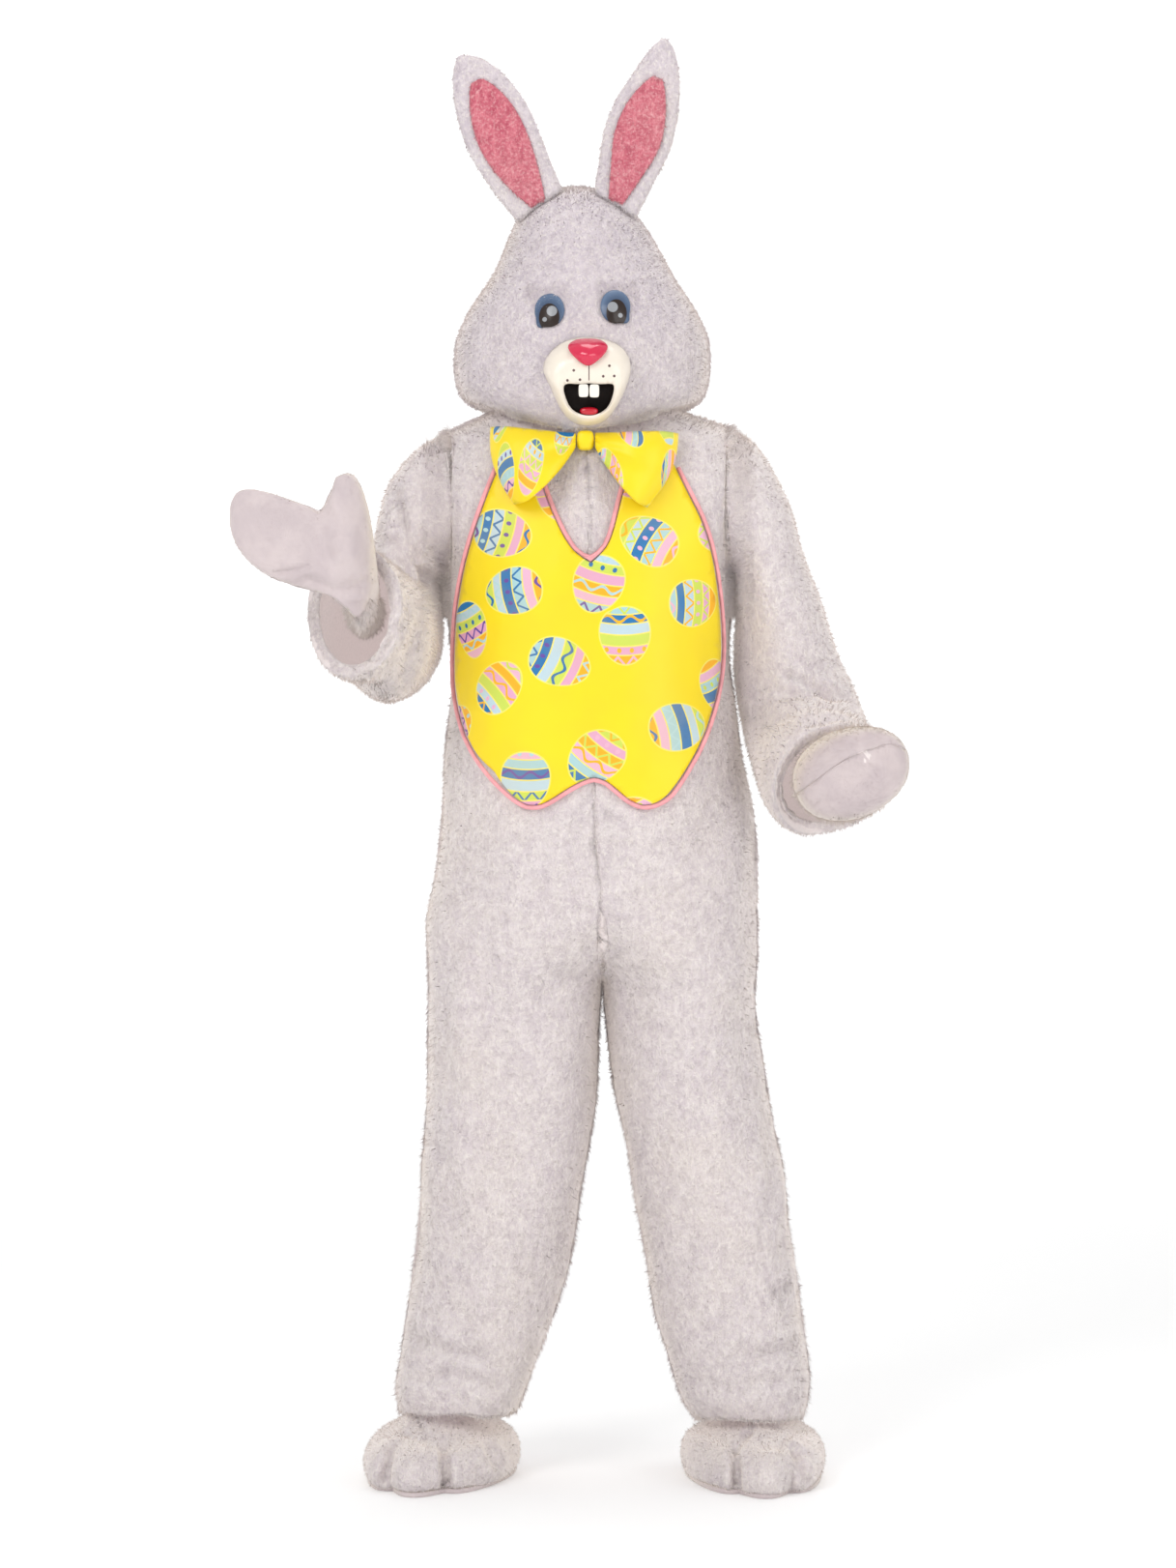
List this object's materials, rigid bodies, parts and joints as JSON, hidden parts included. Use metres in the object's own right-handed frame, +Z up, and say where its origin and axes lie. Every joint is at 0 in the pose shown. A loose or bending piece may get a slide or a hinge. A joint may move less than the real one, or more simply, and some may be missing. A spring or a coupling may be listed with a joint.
{
  "type": "bunny costume",
  "caption": "Worn plush bunny costume: one-piece suit with printed satin waistcoat front, bow tie, hollow head with upright ears, mitts and shoe covers.",
  "frame": {"origin": "on the centre line between the shoulders, at the height where the wearer's shoulders carry the suit", "axes": "+Z up from the shoe covers to the ears, -Y is the front (face and waistcoat), +X is the costume's left side"},
  "size_m": [0.898, 0.5214, 1.9893],
  "materials": {
    "plush": "matt long-pile faux fur",
    "nap": "matt short-nap plush",
    "pink_plush": "matt short-pile plush",
    "yellow_satin": "satin, printed with eggs",
    "pink_satin": "satin",
    "cream_plastic": "gloss",
    "white_plastic": "gloss",
    "red_plastic": "gloss",
    "black_plastic": "matt",
    "eye_plastic": "gloss"
  },
  "bodies": {
    "root": {"back_left": "plush", "back_right": "plush", "bib": "yellow_satin", "bow_knot": "yellow_satin", "bow_left": "yellow_satin", "bow_right": "yellow_satin", "ear_left": "plush", "ear_lining_left": "pink_plush", "ear_lining_right": "pink_plush", "ear_right": "plush", "eye_left": "eye_plastic", "eye_right": "eye_plastic", "front_left": "plush", "front_right": "plush", "head_back": "plush", "head_front": "plush", "mitt_back_left": "nap", "mitt_back_right": "nap", "mitt_palm_left": "nap", "mitt_palm_right": "nap", "mouth_lining": "black_plastic", "muzzle": "cream_plastic", "nose": "red_plastic", "piping_edge": "pink_satin", "piping_neck": "pink_satin", "shoe_cover_left": "plush", "shoe_cover_right": "plush", "shoe_sole_left": "nap", "shoe_sole_right": "nap", "sleeve_left": "plush", "sleeve_right": "plush", "tongue": "red_plastic", "tooth_left": "white_plastic", "tooth_right": "white_plastic"}
  },
  "joints": []
}
